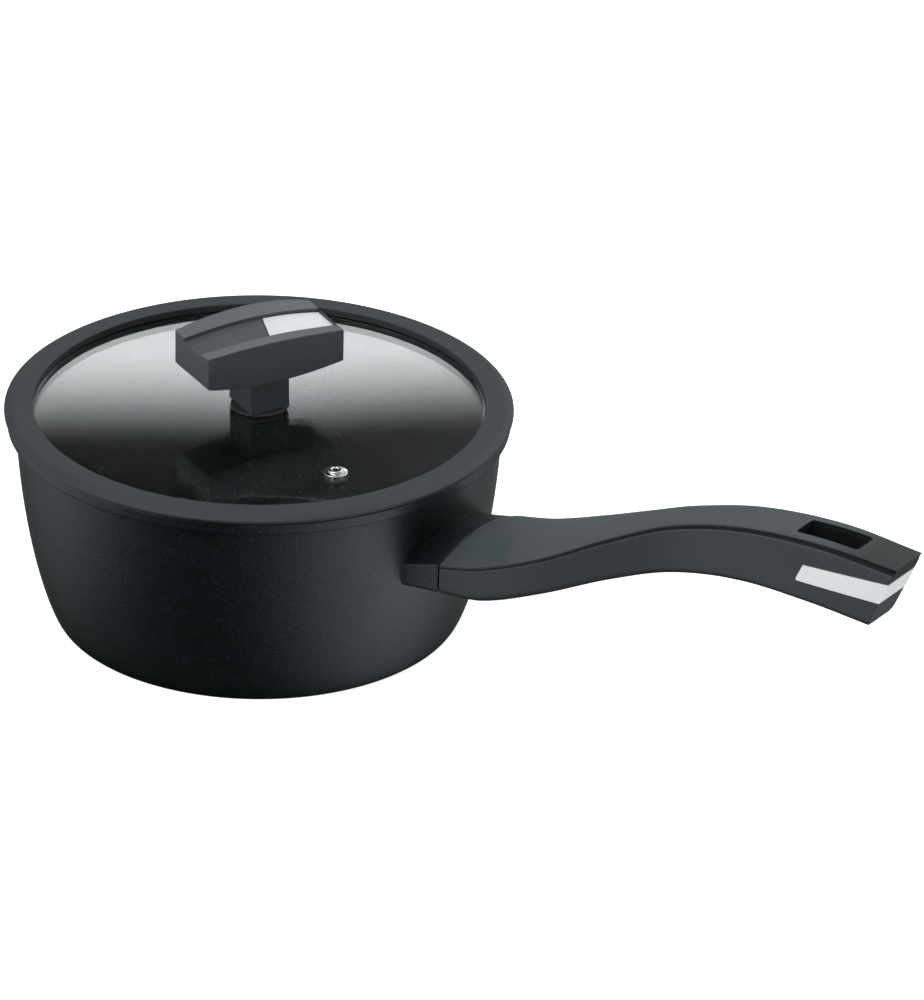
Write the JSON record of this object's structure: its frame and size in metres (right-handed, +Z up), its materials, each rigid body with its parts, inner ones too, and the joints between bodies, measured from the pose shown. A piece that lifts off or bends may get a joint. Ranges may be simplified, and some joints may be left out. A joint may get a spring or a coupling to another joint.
{
  "type": "saucepan with glass lid",
  "caption": "Tapered non-stick saucepan with a curved bar handle, hanging slot, and a flat glass lid with a rubber rim, steam vent and bar knob.",
  "frame": {"origin": "centre of the underside of the base, where the pan stands", "axes": "+X from the pan axis along the handle, +Z up along the pan axis"},
  "size_m": [0.3984, 0.1998, 0.1246],
  "materials": {
    "non_stick_coat": "dark non-stick coat with a fine sparkle on cast aluminium, satin",
    "base_steel": "turned stainless plate",
    "polished_steel": "polished stainless steel",
    "grip_plastic": "fine-grained matte black plastic",
    "grip_soft_cover": "soft-touch layer, matte grey-black",
    "brushed_silver": "bright blank brushed plate",
    "lid_clear_glass": "clear tempered glass",
    "lid_rubber": "matte black heat-proof rubber",
    "seal_rubber": "dark grey silicone",
    "turned_brass": "turned brass",
    "knob_plastic": "fine-grained matte black plastic"
  },
  "bodies": {
    "pan": {"pan_body": "non_stick_coat", "base_plate": "base_steel", "heat_shield": "polished_steel", "grip_body": "grip_plastic", "grip_cover": "grip_soft_cover", "grip_band": "brushed_silver", "handle_screw": "polished_steel", "handle_washer": "polished_steel"},
    "lid": {"lid_glass": "lid_clear_glass", "lid_rim": "lid_rubber", "vent_eyelet": "polished_steel", "vent_washer": "seal_rubber", "knob_gasket": "seal_rubber", "knob_grommet": "seal_rubber", "knob_washer": "polished_steel", "knob_screw": "polished_steel", "knob_insert": "turned_brass", "knob_post": "knob_plastic", "knob_bar": "knob_plastic", "knob_inlay": "brushed_silver"}
  },
  "joints": [
    {"name": "lid_lift", "type": "slide", "parent": "pan", "child": "lid", "axis": [0, 0, 1], "range_m": [0, 0.12]}
  ]
}
